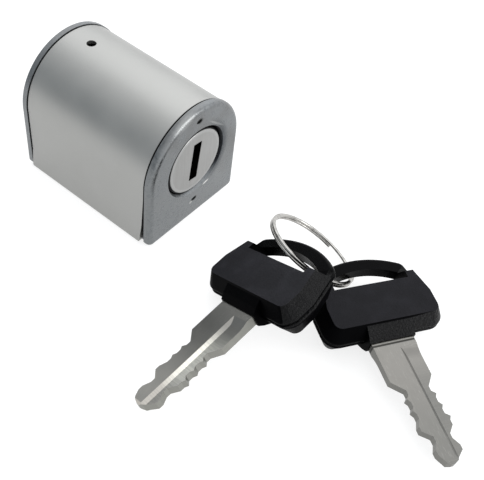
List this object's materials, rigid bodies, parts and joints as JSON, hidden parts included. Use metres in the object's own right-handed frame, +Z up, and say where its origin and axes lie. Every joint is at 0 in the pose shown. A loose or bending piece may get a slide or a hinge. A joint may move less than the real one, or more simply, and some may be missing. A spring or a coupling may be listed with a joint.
{
  "type": "motorcycle steering lock",
  "caption": "D-shaped push-in steering lock: sheet-covered casting, turning plug with wafers and sliding bolt, with black-bowed keys on a split ring.",
  "frame": {"origin": "middle of the mounting face, between the two tapped holes, halfway from the front face to the rear face", "axes": "+Z up from the mounting face, +Y the way the key goes in and the bolt comes out, +X to the right seen from the front"},
  "size_m": [0.0561, 0.106, 0.0284],
  "materials": {
    "casting": "mottled zinc die casting",
    "cover_sheet": "satin",
    "plug_casting": "fine turned zinc",
    "wafer_brass": "stamped",
    "spring_wire": "drawn wire",
    "steel": "turned",
    "blade_1": "nickel, milled edges",
    "blade_2": "nickel, milled edges",
    "bow_plastic": "fine grained",
    "ring_wire": "bright"
  },
  "bodies": {
    "case": {"housing": "casting", "cover": "cover_sheet", "bolt_guide": "casting", "guide_pin": "steel", "return_spring": "spring_wire", "key_1_blade": "blade_1", "key_1_bow": "bow_plastic", "key_2_blade": "blade_2", "key_2_bow": "bow_plastic", "split_ring": "ring_wire"},
    "bolt": {"bolt": "steel", "tail_pin": "steel"},
    "plug": {"plug": "plug_casting", "wafer_spring_1": "spring_wire", "wafer_spring_2": "spring_wire", "wafer_spring_3": "spring_wire", "wafer_spring_4": "spring_wire", "wafer_spring_5": "spring_wire", "wafer_spring_6": "spring_wire"},
    "wafer_1": {"wafer_1": "wafer_brass"},
    "wafer_2": {"wafer_2": "wafer_brass"},
    "wafer_3": {"wafer_3": "wafer_brass"},
    "wafer_4": {"wafer_4": "wafer_brass"},
    "wafer_5": {"wafer_5": "wafer_brass"},
    "wafer_6": {"wafer_6": "wafer_brass"}
  },
  "joints": [
    {"name": "lock_push", "type": "slide", "parent": "case", "child": "bolt", "axis": [0, 1, 0], "range_m": [0, 0.006], "stiffness_N_per_m": 400, "deforming": ["return_spring"]},
    {"name": "key_turn", "type": "hinge", "parent": "bolt", "child": "plug", "pos_m": [0, -0.01735, 0.0154], "axis": [0, -1, 0], "range_deg": [0, 180]},
    {"name": "wafer_slide_1", "type": "slide", "parent": "plug", "child": "wafer_1", "axis": [0.1045, 0, 0.9945], "range_m": [-0.0012, 0.001], "deforming": ["wafer_spring_1"]},
    {"name": "wafer_slide_2", "type": "slide", "parent": "plug", "child": "wafer_2", "axis": [-0.1045, 0, -0.9945], "range_m": [-0.0012, 0.001], "deforming": ["wafer_spring_2"]},
    {"name": "wafer_slide_3", "type": "slide", "parent": "plug", "child": "wafer_3", "axis": [0.1045, 0, 0.9945], "range_m": [-0.0012, 0.001], "deforming": ["wafer_spring_3"]},
    {"name": "wafer_slide_4", "type": "slide", "parent": "plug", "child": "wafer_4", "axis": [-0.1045, 0, -0.9945], "range_m": [-0.0012, 0.001], "deforming": ["wafer_spring_4"]},
    {"name": "wafer_slide_5", "type": "slide", "parent": "plug", "child": "wafer_5", "axis": [0.1045, 0, 0.9945], "range_m": [-0.0012, 0.001], "deforming": ["wafer_spring_5"]},
    {"name": "wafer_slide_6", "type": "slide", "parent": "plug", "child": "wafer_6", "axis": [-0.1045, 0, -0.9945], "range_m": [-0.0012, 0.001], "deforming": ["wafer_spring_6"]}
  ]
}
